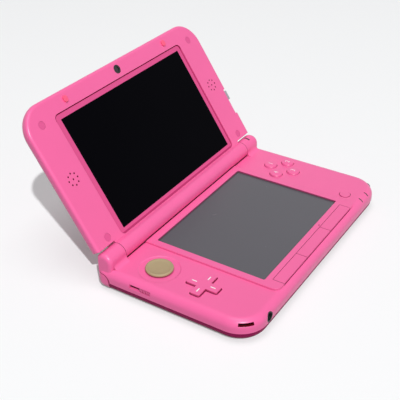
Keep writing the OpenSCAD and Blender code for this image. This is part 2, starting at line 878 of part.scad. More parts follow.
// Door that swings down on a pin along its lower edge
module memory_card_door() {
    r = sd_door_t / 2;
    axis_z = seam_h + r + 0.2;
    axis_x = half_w - r;
    color(pink) {
        block([half_w - sd_door_t, -sd_door_w / 2, axis_z],
            [half_w, sd_door_w / 2, axis_z + sd_door_h - r]);
        translate([axis_x, -sd_door_w / 2, axis_z]) rotate([-90, 0, 0])
            cylinder(h = sd_door_w, r = r);
        translate([axis_x, -sd_door_w / 2 - 0.7, axis_z]) rotate([-90, 0, 0])
            cylinder(h = sd_door_w + 1.4, r = 0.35);
    }
}

module headphone_jack() {
    half = 3.2;
    start = inner_front_y + 1.5;  // behind the rounding inside the case
    end = inner_front_y + jack_len;
    color([0.05, 0.05, 0.06])
        difference() {
            union() {
                block([jack_x - half, start, jack_z - 2.35], [jack_x + half, end, jack_z + 2.35]);
                translate([jack_x, front_y + 0.7, jack_z]) rotate([-90, 0, 0])
                    cylinder(h = start - front_y, r = jack_r + 0.25);
            }
            translate([jack_x, front_y - over, jack_z]) rotate([-90, 0, 0])
                cylinder(h = end - front_y + over - 0.5, r = jack_r);
        }
}

module charging_port() {
    color([0.1, 0.1, 0.11])
        difference() {
            block([port_x - port_w / 2, inner_rear_y - 8, port_z],
                [port_x + port_w / 2, rear_y - 0.6, port_z + port_h]);
            block([port_x - port_w / 2 + 0.8, inner_rear_y - 6, port_z + 0.8],
                [port_x + port_w / 2 - 0.8, rear_y, port_z + port_h - 0.8]);
        }
}

module infrared_window() {
    color([0.15, 0.02, 0.05])
        block([ir_x - ir_w / 2 + fit, inner_rear_y - 0.6, seam_h + 0.6 + fit],
            [ir_x + ir_w / 2 - fit, rear_y - 0.1, seam_h + 2.8 - fit]);
}

module microphone() {
    color("black")
        block([14.4, menu_front_y + menu_d + 0.75, roof_z - 1],
            [16.4, menu_front_y + menu_d + 2.15, roof_z]);
}

// Two light pipes that wrap over the front edge
module status_leds() {
    color([0.2, 0.02, 0.04])
        intersection() {
            base_form();
            for (x = led_spots)
                block([x - led_w / 2, front_y + case_wall - 1.4, led_low],
                    [x + led_w / 2, led_end_y, deck_h + over]);
        }
}

module notification_led() {
    color([0.2, 0.02, 0.04]) ear_led(ear_led_w / 2, ear_r - 1.4, ear_r);
}

// Slider knob through the left wall, with a plate behind it that closes the slot
module side_slider(y, z, knob, h, out, plate_y, plate_z) {
    block([0.35 - inner_x, plate_y[0], plate_z[0]], [1 - inner_x, plate_y[1], plate_z[1]]);
    block([-inner_x - out, y - knob / 2, z - h / 2 + 0.15],
        [0.6 - inner_x, y + knob / 2, z + h / 2 - 0.15]);
    for (i = [-1:1])
        block([-inner_x - out - 0.35, y + i * knob / 3.6 - 0.3, z - h / 2 + 0.15],
            [-inner_x, y + i * knob / 3.6 + 0.3, z + h / 2 - 0.15]);
}

module volume_slider() {
    knob = 6.2;
    low = volume_y - volume_len / 2;
    color([0.8, 0.3, 0.5])
        side_slider(low + knob / 2 + 0.3, volume_z, knob, volume_h, case_wall - 0.45,
            [low - volume_travel - 0.4, low + volume_len + 0.4], [7.2, 9.4]);
}

module wireless_switch() {
    knob = 3.4;
    low = wireless_y - wireless_len / 2;
    color([0.8, 0.3, 0.5])
        mirror([1, 0, 0])
            side_slider(low + knob / 2 + 0.2, wireless_z, knob, 2, case_wall + 0.3,
                [low - wireless_travel - 0.4, low + wireless_len + 0.4], [6.6, 8.9]);
}

module stylus_holder() {
    inner_r = stylus_r + stylus_gap;
    color("dimgray")
        translate([0, stylus_y, stylus_z])
            difference() {
                rod_x(inner_x - stylus_len - 1, inner_x - 2.6, inner_r + holder_t);
                rod_x(inner_x - stylus_len, inner_x, inner_r);
            }
}

module stylus() {
    tip_x = inner_x - stylus_len + 1;
    color([0.2, 0.2, 0.22])
        translate([0, stylus_y, stylus_z]) {
            rod_x(tip_x + 5, inner_x - 0.4, stylus_r);
            translate([tip_x + 5, 0, 0]) rotate([0, -90, 0])
                cylinder(h = 5, r1 = stylus_r, r2 = 0.6);
            rod_x(inner_x - 2, inner_x + 0.9, stylus_r + 0.5);
        }
}

// Post behind the strap slot that the cord loops round
module strap_bar() {
    a = strap_a + strap_turn / 2;
    reach = front_corner_r - case_wall - 3.8;
    color("silver")
        translate([-half_w + front_corner_r + reach * cos(a),
                front_y + front_corner_r + reach * sin(a), plate_z + plate_t])
            cylinder(h = roof_z - plate_z - plate_t, r = 0.8);
}

// Right shoulder button: an angled shell that turns on an upright pin
module shoulder_button() {
    back = rear_y - shoulder_wall;
    color(pink)
        difference() {
            union() {
                intersection() {
                    difference() {
                        base_form();
                        block([0, 0, -over], [half_w - shoulder_wall, back, deck_h + over]);
                    }
                    shoulder_space(shoulder_in + seam_gap, side_gap, seam_gap);
                }
                block([shoulder_in + seam_gap, shoulder_pin_y - 1.6, 3.2],
                    [shoulder_pin_x + 1.6, back + 0.2, shoulder_block_z - 0.3]);
                block([half_w - 15.5, shoulder_front + 3.9, 2.5], [half_w - 12.5, back + 0.2, 4.5]);
            }
            translate([shoulder_pin_x, shoulder_pin_y, 0])
                cylinder(h = deck_h, r = shoulder_pin_r + fit);
        }
}

module shoulder_pins() {
    color("silver")
        for (s = [-1, 1])
            translate([s * shoulder_pin_x, shoulder_pin_y, 1])
                cylinder(h = shoulder_pin_top - 1, r = shoulder_pin_r);
}

// Friction hinge in the left ear
module hinge_clutch() {
    color("silver")
        translate([0, hinge_y, hinge_z])
            rod_x(ear_in_left - 9, ear_in_left - 9 + hinge_pin_len, pin_r);
}

// Hollow pin in the right ear that lets the screen's ribbon pass
module hinge_tube() {
    color("silver")
        translate([0, hinge_y, hinge_z])
            difference() {
                rod_x(ear_in_right + 9 - hinge_pin_len, ear_in_right + 9, pin_r);
                rod_x(ear_in_right, ear_in_right + 9 + over, pin_r - 0.8);
                rod_x(ear_in_right - hinge_pin_len, ear_in_right + over, pin_r - 0.8);
            }
}

// Puts lid parts, drawn flat and open, at the drawn angle
module on_lid() {
    translate([0, hinge_y, hinge_z]) rotate([180 - lid_angle, 0, 0]) children();
}

// The part of the lid between two heights, cut free of the ears
module lid_slab(z0, h, low_r, top_r, near_y) {
    difference() {
        translate([0, 0, z0]) mirror([0, 1, 0])
            round_slab(lid_w, -lid_len, 20, lid_corner_r, 5, h, low_r, top_r);
        block([-lid_w, -40, z0 - over], [lid_w, near_y, z0 + h + over]);
        block([-lid_w, -40, z0 - over], [ear_in_left + barrel_gap, lid_cut_y, z0 + h + over]);
        block([ear_in_right - barrel_gap, -40, z0 - over], [lid_w, lid_cut_y, z0 + h + over]);
        for (s = [0, 1])
            mirror([s, 0, 0])
                translate([lid_half - lid_foot_r, lid_cut_y + lid_foot_r, z0 - over])
                    linear_extrude(h + 2 * over)
                        difference() {
                            translate([0, -lid_foot_r - over])
                                square(lid_foot_r + over);
                            circle(lid_foot_r);
                        }
    }
}

// Notch for the depth slider in the right edge
module depth_notch() {
    block([lid_half - notch_depth, notch_y0, lid_split - 2.2],
        [lid_half + over, notch_y0 + notch_len, lid_face + over]);
}

module lid_inner_cover() {
    color(pink) on_lid()
        difference() {
            union() {
                lid_slab(lid_split, lid_seam, 0, lid_face_r, 0);
                rod_x(ear_in_left + barrel_gap, ear_in_right - barrel_gap, ear_r);
            }
            translate([0, lens_mid, lid_face - lens_recess - lens_t])
                linear_extrude(lens_t + lens_recess + over)
                    rrect(lens_w + 0.1, lens_d + 0.1, lens_corner_r);
            translate([0, screen_y0 + screen_d / 2, lid_split - over])
                linear_extrude(lid_seam + over) rrect(screen_w, screen_d, 0.5);
            translate([0, camera_y, lid_split - over]) cylinder(h = 4, r = camera_r + fit);
            for (s = [-1, 1]) {
                for (y = [screw_y_near, screw_y_far])
                    translate([s * screw_x, y, lid_split - over]) {
                        cylinder(h = 4, r = screw_r + fit);
                        translate([0, 0, over + 0.6]) cylinder(h = 4, r = screw_cover_r + fit);
                    }
                translate([s * speaker_x, speaker_y, lid_split - over]) {
                    cylinder(h = 4, r = 0.5);
                    for (i = [0:7])
                        rotate([0, 0, 45 * i]) translate([0.55 * speaker_r, 0, 0])
                            cylinder(h = 4, r = 0.5, $fn = 24);
                }
            }
            depth_notch();
            rod_x(ear_in_left, ear_in_left + hinge_pin_len - 8, pin_r + fit);
            rod_x(ear_in_right - hinge_pin_len + 8, ear_in_right, pin_r + fit);
        }
}

module lid_outer_cover() {
    h = lid_split - lid_back;
    color(pink) on_lid()
        difference() {
            lid_slab(lid_back, h, lid_edge_r, 0, lid_near_y);
            difference() {
                block([-lid_w, 0, lid_back - over],
                    [lid_w, lid_near_y + lid_near_r, lid_back + lid_near_r]);
                translate([0, lid_near_y + lid_near_r, lid_back + lid_near_r])
                    rod_x(-lid_w, lid_w, lid_near_r);
            }
            difference() {
                translate([0, 0, lid_back + lid_wall]) mirror([0, 1, 0])
                    round_slab(lid_w - 2 * lid_wall, lid_wall - lid_len,
                        20 - lid_wall, lid_corner_r - lid_wall, 5 - lid_wall,
                        h, lid_edge_r - lid_wall, 0);
                block([-lid_w, -40, lid_back], [lid_w, lid_cut_y + lid_wall, lid_face]);
                for (s = [-1, 1], y = [screw_y_near, screw_y_far])
                    translate([s * screw_x, y, lid_back]) cylinder(h = lid_t, r = lid_boss_r);
                block([lid_half - notch_depth - lid_wall, notch_y0 - lid_wall, lid_back],
                    [lid_half, notch_y0 + notch_len + lid_wall, lid_face]);
            }
            for (s = [-1, 1], y = [screw_y_near, screw_y_far])
                translate([s * screw_x, y, lid_back + lid_wall])
                    cylinder(h = lid_t, r = screw_r);
            for (s = [-1, 1])
                translate([s * eye_x, eye_y, lid_back - over]) cylinder(h = 4, r = 3.2);
            rod_x(ear_in_left, ear_in_right, ear_r + 0.02);
            depth_notch();
            block([lid_half - notch_depth - lid_wall - over, notch_y0 + 0.6, lid_split - 1.8],
                [lid_half - notch_depth + over, notch_y0 + notch_len - 0.6, lid_split - 0.2]);
        }
}

module screen_lens() {
    color([0.03, 0.03, 0.04]) on_lid()
        translate([0, lens_mid, lid_face - lens_recess - lens_t])
            linear_extrude(lens_t) rrect(lens_w, lens_d, lens_corner_r);
}

module upper_lcd() {
    color("dimgray") on_lid()
        translate([0, lens_mid, lid_split - 2.3])
            linear_extrude(2.3) rrect(lens_w - 3, lens_d - 4.5, 1);
}

module inner_camera() {
    color([0.05, 0.05, 0.06]) on_lid()
        translate([0, camera_y, 0])
            difference() {
                translate([0, 0, lid_split - 2]) cylinder(h = lid_face - lid_split + 1.85, r = camera_r);
                translate([0, 0, lid_face - 0.5]) cylinder(h = over, r = camera_r - 0.9);
            }
}

module outer_cameras() {
    color([0.05, 0.05, 0.06]) on_lid()
        for (s = [-1, 1])
            translate([s * eye_x, eye_y, lid_back + 0.2]) cylinder(h = 2.3, r = 3.1);
}

module speakers() {
    color([0.15, 0.15, 0.16]) on_lid()
        for (s = [-1, 1])
            translate([s * speaker_x, speaker_y, lid_split - 3]) cylinder(h = 3, r = speaker_r);
}

module lid_bumpers() {
    color([0.95, 0.42, 0.5]) on_lid()
        for (s = [-1, 1])
            translate([s * bumper_x, camera_y - 0.05, lid_face]) linear_extrude(0.75) rrect(2.9, 3.6, 1.4);
}

module screw_covers() {
    color([0.85, 0.28, 0.5]) on_lid()
        for (s = [-1, 1], y = [screw_y_near, screw_y_far])
            translate([s * screw_x, y, lid_face - 0.7]) cylinder(h = 0.62, r = screw_cover_r);
}

module lid_screws() {
    color("silver") on_lid()
        for (s = [-1, 1], y = [screw_y_near, screw_y_far])
            translate([s * screw_x, y, 0]) {
                translate([0, 0, lid_split + 0.6]) cylinder(h = 0.45, r = screw_head_r);
                translate([0, 0, lid_back + lid_wall + 0.6])
                    cylinder(h = lid_split - lid_back - lid_wall, r = screw_r);
            }
}

module depth_slider() {
    y1 = notch_y0 + notch_len - 1.3;
    z = lid_split - 1;
    bottom_x = lid_half - notch_depth;
    color([0.78, 0.78, 0.8]) on_lid() {
        block([bottom_x + 0.15, y1 - knob_len, z - 0.9], [lid_half + 0.25, y1, z + 2]);
        block([bottom_x - lid_wall - 0.8, y1 - knob_len + 0.6, z - 0.6],
            [bottom_x + 0.3, y1 - 0.6, z + 0.6]);
    }
}

back_cover();
lower_case();
upper_case();
cover_screws();
case_screws();
touch_panel();
lower_lcd();
mainboard();
board_chips();
radio_module();
battery();
menu_board();
circle_pad_housing();
circle_pad_slider();
circle_pad_cap();
dpad_membrane();
dpad_pivot();
dpad();
button_membrane();
face_button(0);  // button_1
face_button(1);  // button_2
face_button(2);  // button_3
face_button(3);  // button_4
power_button();
menu_membrane();
menu_button(menu_left, menu_split_a);  // select_button
menu_button(menu_split_a + 0.3, menu_split_b);  // home_button
menu_button(menu_split_b + 0.3, menu_right);  // start_button
tact_switches();
card_slot();
memory_card_slot();
memory_card_door();
headphone_jack();
charging_port();
infrared_window();
microphone();
status_leds();
notification_led();
volume_slider();
wireless_switch();
stylus_holder();
stylus();
strap_bar();
mirror([1, 0, 0]) shoulder_button();  // shoulder_left
shoulder_button();  // shoulder_right
shoulder_pins();
hinge_clutch();
hinge_tube();
lid_inner_cover();
lid_outer_cover();
screen_lens();
upper_lcd();
inner_camera();
outer_cameras();
speakers();
lid_bumpers();
screw_covers();
lid_screws();
depth_slider();
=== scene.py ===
"""Looks of the clamshell handheld console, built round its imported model."""
import json
import math

import bmesh
import bpy
from mathutils import Matrix, Vector


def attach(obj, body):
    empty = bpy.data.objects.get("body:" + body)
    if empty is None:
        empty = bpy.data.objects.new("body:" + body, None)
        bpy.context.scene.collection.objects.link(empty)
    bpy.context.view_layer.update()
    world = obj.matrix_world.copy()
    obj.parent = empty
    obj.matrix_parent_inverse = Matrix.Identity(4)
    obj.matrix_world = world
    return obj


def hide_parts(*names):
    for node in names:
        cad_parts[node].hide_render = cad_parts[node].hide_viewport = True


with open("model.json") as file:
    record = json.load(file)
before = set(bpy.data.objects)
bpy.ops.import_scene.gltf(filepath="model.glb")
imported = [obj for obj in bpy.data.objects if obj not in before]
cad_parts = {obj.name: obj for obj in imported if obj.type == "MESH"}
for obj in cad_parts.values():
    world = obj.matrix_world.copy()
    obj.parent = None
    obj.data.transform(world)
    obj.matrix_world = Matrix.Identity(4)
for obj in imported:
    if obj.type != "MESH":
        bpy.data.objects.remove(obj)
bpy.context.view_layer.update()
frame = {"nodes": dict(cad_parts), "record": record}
NODES = frame["nodes"]
MM = 0.001

# Places and sizes in millimetres, most of them shared with the model
HINGE_Y, HINGE_Z = 40.9, 15.6
LID_OPEN = 124.2  # degrees from closed, as drawn
LID_TURN = math.radians(180 - LID_OPEN)
DECK_Z = 12.6

KEYS_CENTRE, KEYS_PITCH = (60.35, 10.6), 7.6
KEY_R, KEY_FLANGE_R = 3.75, 4.55
KEY_FLANGE_LOW, KEY_FLANGE_TOP = 10.1, 10.9
KEY_SIDE_TOP, KEY_TOP = 13.38, 13.88
KEY_RIM_R, KEY_RIM_SWEEP = 0.3, 75
KEY_CROWN = [(3.3, 13.7), (2.2, 13.77), (1.4, 13.83), (0.7, 13.87)]
NUMERAL_SIZE, NUMERAL_THICK, NUMERAL_BOLD = 4.0, 0.03, 0.04

PAD_CENTRE, PAD_R, PAD_TOP = (-61.95, 16.7), 7.3, 14.1
PAD_STEM_R, PAD_STEM_LOW = 2.0, 9.2
PAD_RIM_R, PAD_SIDE_DROP = 0.75, 0.9
PAD_DISH_FLOOR, PAD_DISH_FLOOR_R = 0.4, 1.0
# How far in from the pad's side, and how high over the deck or deep under its top
PAD_FOOT = [(0.5, 0.0), (0.2, 0.15), (0.0, 0.5)]
PAD_DISH = [(1.2, 0.02), (1.6, 0.14), (2.2, 0.26), (3.2, 0.34), (5.0, 0.38)]

CROSS_CENTRE, CROSS_TOP = (-61.65, -9.45), 13.6
DASH_REACH, DASH_WIDTH, DASH_LENGTH, DASH_THICK = 5.35, 0.62, 2.8, 0.02

# Rectangles with round corners: centre, half size, corner radius. The first two lie on
# the lid and are measured from its hinge, the others lie on the deck
LENS_WINDOW = ((0, 40.35), (53.45, 32.25), 0.4)
LENS_OUTLINE = ((0, 40.55), (57, 35.25), 3.0)
TOUCH_OPENING = ((0, -0.9), (42.8, 32.2), 0.8)
TOUCH_FILM = ((0, -0.9), (42.3, 31.7), 0.6)

# Painted shade on the lens: a darker ring at its right and lower side for the less lit
# wall of its recess, and a dark line at its top for the shade in the gap there
LENS_RING_RIGHT, LENS_RING_LOW = 55.95, 6.35
LENS_LINE_FROM, LENS_LINE_INSET = 72.5, 0.5

# The strap slot in the front left corner of the base. The corner's upper edge is rounded
# about a ring, and walls nearer to that ring than EDGE_SKIN lie inside the slot
# Those walls are painted dark red for the shade inside the slot
CORNER_CENTRE, CORNER_REACH = (-63.0, -30.9), -5.0
EDGE_RING_R, EDGE_RING_Z, EDGE_SKIN = 10.5, 8.1, 4.4
STRAP_LOW, STRAP_TOP = 9.55, 11.1

# The black ring round the headphone socket
SOCKET_X, SOCKET_Z, SOCKET_RING_R = -60.3, 8.05, 2.75
FRONT_Y = -40.0  # anything before this is on the front wall

# Colours in screen values, set by comparing renders with the photo
PINK = (0.935, 0.395, 0.625)
BAND_PINK = (0.86, 0.34, 0.555)
# Painted shade of the lens recess's wall, at the lens's right and lower side
RING_SHADE_PINK = (0.74, 0.23, 0.44)
# Painted shade deep in seams and hollows, and along the lens's top edge
PAINTED_SHADE_PINK = (0.54, 0.05, 0.22)
PLUG_PINK = (0.86, 0.33, 0.56)
# Painted shade: the lower cover is drawn darker for its downward-facing walls
SHADED_COVER_PINK = (0.56, 0.07, 0.31)
# Painted shade inside the strap slot
SLOT_SHADE_RED = (0.36, 0.02, 0.08)
GREY_SCREEN = (0.335, 0.33, 0.355)
BLACK = (0.03, 0.03, 0.035)
DISPLAY_BLACK = (0.018, 0.018, 0.03)
PAD_BEIGE = (0.65, 0.585, 0.45)
BOARD_GREEN, TRACK_GREEN = (0.05, 0.33, 0.18), (0.16, 0.47, 0.28)

# The camera as it was solved from the photo, in metres
CAMERA_RIGHT = (0.532388, -0.846497, -0.002213)
CAMERA_UP = (0.455816, 0.284472, 0.843391)
CAMERA_BACK = (-0.713298, -0.45002, 0.537296)
CAMERA_PLACE = (-0.333166, -0.178721, 0.266435)
SENSOR_WIDTH, FOCAL_LENGTH = 36, 74.303

# Lamps: name, place, aim, side and power
LAMPS = [
    ("key", (-3.264, -3.104, 4.936), (0, 0, 0.03), 0.14, 400),
    ("overhead", (-0.1, 0.0, 1.7), (0, 0, 0), 0.9, 7.5),
]
SKY_STRENGTH = 0.09

# The table as it lights the model, as it is seen, and how much of the seen one glows
TABLE_HIDDEN = (0.32, 0.32, 0.34, 1)
TABLE_SEEN = (0.925, 0.935, 0.945, 1)
TABLE_GLOW = 0.205
TABLE_Z = -0.0001  # metres, just clear of the part's underside


def linear(value):
    """A screen value as the linear one that a shader takes."""
    if value <= 0.04045:
        return value / 12.92
    return ((value + 0.055) / 1.055) ** 2.4


def shade(colour, factor=1.0):
    """A screen colour in linear values, made lighter or darker by a factor."""
    return tuple(min(1.0, linear(c) * factor) for c in colour) + (1.0,)


class Shader:
    """A material with one principled shader and helpers to wire nodes to it."""

    def __init__(self, name):
        self.mat = bpy.data.materials.new(name)
        self.mat.use_nodes = True
        self.tree = self.mat.node_tree
        self.bsdf = self.tree.nodes["Principled BSDF"]
        self.where = self.node("ShaderNodeTexCoord").outputs["Object"]

    def node(self, kind, **settings):
        n = self.tree.nodes.new(kind)
        for key, value in settings.items():
            setattr(n, key, value)
        return n

    def link(self, a, b):
        self.tree.links.new(a, b)

    def noise(self, scale, detail=3.0):
        n = self.node("ShaderNodeTexNoise")
        n.inputs["Scale"].default_value = scale
        n.inputs["Detail"].default_value = detail
        n.inputs["Roughness"].default_value = 0.55
        self.link(self.where, n.inputs["Vector"])
        return n.outputs["Fac"]

    def math(self, op, *values):
        n = self.node("ShaderNodeMath", operation=op)
        for sock, value in zip(n.inputs, values):
            if isinstance(value, (int, float)):
                sock.default_value = value
            else:
                self.link(value, sock)
        return n.outputs[0]

    def minus(self, a, b):
        return self.math("SUBTRACT", a, b)

    def length(self, a, b):
        """Length of the vector (a, b)."""
        squares = [self.math("MULTIPLY", v, v) for v in (a, b)]
        return self.math("SQRT", self.math("ADD", *squares))

    def both(self, *masks):
        """1 where every mask is 1."""
        total = masks[0]
        for mask in masks[1:]:
            total = self.math("MULTIPLY", total, mask)
        return total

    def mapped(self, value, source, target=(0.0, 1.0), **settings):
        """Value carried from one range to another and held at its ends."""
        n = self.node("ShaderNodeMapRange", **settings)
        ends = ("From Min", "From Max", "To Min", "To Max")
        for end, limit in zip(ends, (*source, *target)):
            n.inputs[end].default_value = limit
        self.link(value, n.inputs["Value"])
        return n.outputs[0]

    def mix(self, factor, a, b):
        """Colour a where factor is 0 and b where it is 1."""
        n = self.node("ShaderNodeMix", data_type="RGBA")
        self.link(factor, n.inputs["Factor"])
        for sock, v in ((n.inputs[6], a), (n.inputs[7], b)):
            if isinstance(v, tuple):
                sock.default_value = v
            else:
                self.link(v, sock)
        return n.outputs[2]

    def colour(self, value):
        self.link(value, self.bsdf.inputs["Base Color"])

    def roughness(self, value, low, high):
        self.link(self.mapped(value, (0.0, 1.0), (low, high)),
                  self.bsdf.inputs["Roughness"])

    def surface(self, grain, strength, soft_edge=0.0):
        """Moulded grain, with edges that catch light as if they were eased."""
        bump = self.node("ShaderNodeBump")
        bump.inputs["Strength"].default_value = strength
        bump.inputs["Distance"].default_value = 0.02 * MM
        self.link(self.noise(grain, 2.0), bump.inputs["Height"])
        if soft_edge:
            edge = self.node("ShaderNodeBevel", samples=6)
            edge.inputs["Radius"].default_value = soft_edge * MM
            self.link(edge.outputs["Normal"], bump.inputs["Normal"])
        self.link(bump.outputs["Normal"], self.bsdf.inputs["Normal"])

    def place(self):
        """X, Y and Z in millimetres in the part's frame."""
        sep = self.node("ShaderNodeSeparateXYZ")
        self.link(self.where, sep.inputs[0])
        return [self.math("MULTIPLY", sep.outputs[i], 1 / MM) for i in range(3)]

    def lid_place(self):
        """Across, along and off the drawn lid, in millimetres from its hinge."""
        sub = self.node("ShaderNodeVectorMath", operation="SUBTRACT")
        self.link(self.where, sub.inputs[0])
        sub.inputs[1].default_value = (0, HINGE_Y * MM, HINGE_Z * MM)
        across = (1, 0, 0)
        along = (0, math.cos(LID_TURN), math.sin(LID_TURN))
        off = (0, -math.sin(LID_TURN), math.cos(LID_TURN))
        out = []
        for axis in (across, along, off):
            dot = self.node("ShaderNodeVectorMath", operation="DOT_PRODUCT")
            self.link(sub.outputs[0], dot.inputs[0])
            dot.inputs[1].default_value = axis
            out.append(self.math("MULTIPLY", dot.outputs["Value"], 1 / MM))
        return out

    def round_box(self, u, v, box):
        """Distance outside a rectangle with round corners, in millimetres."""
        centre, half, radius = box
        over = []
        for value, middle, reach in zip((u, v), centre, half):
            apart = self.math("ABSOLUTE", self.minus(value, middle))
            over.append(self.minus(apart, reach - radius))
        corner = self.length(*[self.math("MAXIMUM", q, 0.0) for q in over])
        inner = self.math("MINIMUM", self.math("MAXIMUM", *over), 0.0)
        return self.minus(self.math("ADD", corner, inner), radius)

    def occlusion_shade(self, reach, open_at):
        """1 deep in a narrow seam and 0 on an open face, from ambient occlusion, for
        painted shade.
        """
        n = self.node("ShaderNodeAmbientOcclusion", samples=8)
        n.inputs["Distance"].default_value = reach * MM
        return self.mapped(n.outputs["AO"], (0.15, open_at), (1.0, 0.0))

    def edge(self, distance, soft=0.06):
        """1 outside a distance of nought and 0 inside, with a soft step."""
        return self.mapped(distance, (-soft, soft), interpolation_type="SMOOTHSTEP")


def strap_slot_shade(s, x, y, z):
    """Painted shade mask: 1 on the walls inside the strap slot of the rounded corner, 0
    elsewhere.
    """
    dx, dy = s.minus(x, CORNER_CENTRE[0]), s.minus(y, CORNER_CENTRE[1])
    skin = s.length(s.minus(s.length(dx, dy), EDGE_RING_R), s.minus(z, EDGE_RING_Z))
    return s.both(
        s.edge(s.minus(EDGE_SKIN, skin), 0.04),
        s.math("GREATER_THAN", z, STRAP_LOW), s.math("LESS_THAN", z, STRAP_TOP),
        s.math("LESS_THAN", dx, CORNER_REACH), s.math("LESS_THAN", dy, CORNER_REACH))


def socket_ring(s, x, y, z):
    """1 on the black ring round the headphone socket, 0 elsewhere."""
    out = s.length(s.minus(x, SOCKET_X), s.minus(z, SOCKET_Z))
    return s.both(s.edge(s.minus(SOCKET_RING_R, out)), s.math("LESS_THAN", y, FRONT_Y))


def plastic(name, colour, rough=0.36, grain=2600, bump=0.25, soft=0.35, coat=0.0,
            vary=0.035, specular=0.5, seam=None, reach=1.4, open_at=0.75, shell=False):
    """Plastic or rubber. Seam is the painted shade colour deep in narrow seams, and
    shell adds what is dark in the base's case: the touch opening, the strap slot's
    painted shade, the socket."""
    s = Shader(name)
    body = s.mix(s.noise(45), shade(colour, 1 - vary), shade(colour, 1 + vary))
    if seam:
        # Painted shade: darker where ambient occlusion finds a seam or hollow
        body = s.mix(s.occlusion_shade(reach, open_at), body, shade(seam))
    if shell:
        x, y, z = s.place()
        body = s.mix(s.edge(s.round_box(x, y, TOUCH_OPENING), 0.05), shade(BLACK), body)
        # The inside of the strap slot is painted dark red for its shade
        body = s.mix(strap_slot_shade(s, x, y, z), body, shade(SLOT_SHADE_RED))
        body = s.mix(socket_ring(s, x, y, z), body, shade(BLACK))
    s.colour(body)
    s.roughness(s.noise(160, 4.0), rough - 0.05, rough + 0.06)
    s.surface(grain, bump, soft)
    s.bsdf.inputs["Specular IOR Level"].default_value = specular
    s.bsdf.inputs["Coat Weight"].default_value = coat
    s.bsdf.inputs["Coat Roughness"].default_value = 0.12
    return s.mat


def metal(name, colour, rough):
    s = Shader(name)
    s.bsdf.inputs["Metallic"].default_value = 1.0
    s.colour(s.mix(s.noise(900, 2.0), shade(colour, 0.86), shade(colour, 1.06)))
    s.roughness(s.noise(400), rough - 0.08, rough + 0.1)
    s.surface(3500, 0.2, 0.1)
    return s.mat


def lens_material():
    """The lens drawn as its print, black over the display and pink round it, with
    painted shade at its edges.
    """
    s = Shader("screen_lens_print_and_shade")
    u, v, _ = s.lid_place()
    outside = s.edge(s.round_box(u, v, LENS_WINDOW), 0.08)
    cloud = s.noise(14, 2.0)
    black = s.mix(cloud, shade(DISPLAY_BLACK, 0.8), shade(DISPLAY_BLACK, 1.3))
    pink = s.mix(s.noise(60), shade(BAND_PINK, 0.97), shade(BAND_PINK, 1.03))
    # A ring of painted shade at the lens's right and lower side
    right = s.edge(s.minus(u, LENS_RING_RIGHT), 0.1)
    low = s.edge(s.minus(LENS_RING_LOW, v), 0.1)
    pink = s.mix(s.math("MAXIMUM", right, low), pink, shade(RING_SHADE_PINK))
    # A dark line of painted shade along the lens's top edge
    rim = s.math("ADD", s.round_box(u, v, LENS_OUTLINE), LENS_LINE_INSET)
    top = s.both(s.edge(rim, 0.1), s.edge(s.minus(v, LENS_LINE_FROM), 0.6))
    pink = s.mix(top, pink, shade(PAINTED_SHADE_PINK, 0.8))
    s.colour(s.mix(outside, black, pink))
    s.roughness(s.noise(30, 2.0), 0.05, 0.10)
    s.bsdf.inputs["Specular IOR Level"].default_value = 0.01
    return s.mat


def touch_material():
    """Grey film of the touch screen, a little darker where its seal shows."""
    s = Shader("touch_film")
    x, y, _ = s.place()
    rim = s.edge(s.round_box(x, y, TOUCH_FILM), 0.5)
    cloud = s.mix(s.noise(22, 2.0), shade(GREY_SCREEN, 0.94), shade(GREY_SCREEN, 1.05))
    s.colour(s.mix(rim, cloud, shade(GREY_SCREEN, 0.7)))
    s.roughness(s.noise(90), 0.2, 0.3)
    s.bsdf.inputs["Specular IOR Level"].default_value = 0.3
    s.surface(5000, 0.08)
    return s.mat


def board_material():
    """Solder mask with paler tracks between its cells."""
    s = Shader("circuit_board")
    cells = s.node("ShaderNodeTexVoronoi", feature="DISTANCE_TO_EDGE")
    cells.inputs["Scale"].default_value = 420
    s.link(s.where, cells.inputs["Vector"])
    track = s.math("LESS_THAN", cells.outputs["Distance"], 0.06)
    s.colour(s.mix(track, shade(BOARD_GREEN), shade(TRACK_GREEN)))
    s.roughness(s.noise(300), 0.3, 0.5)
    s.surface(1500, 0.3)
    return s.mat


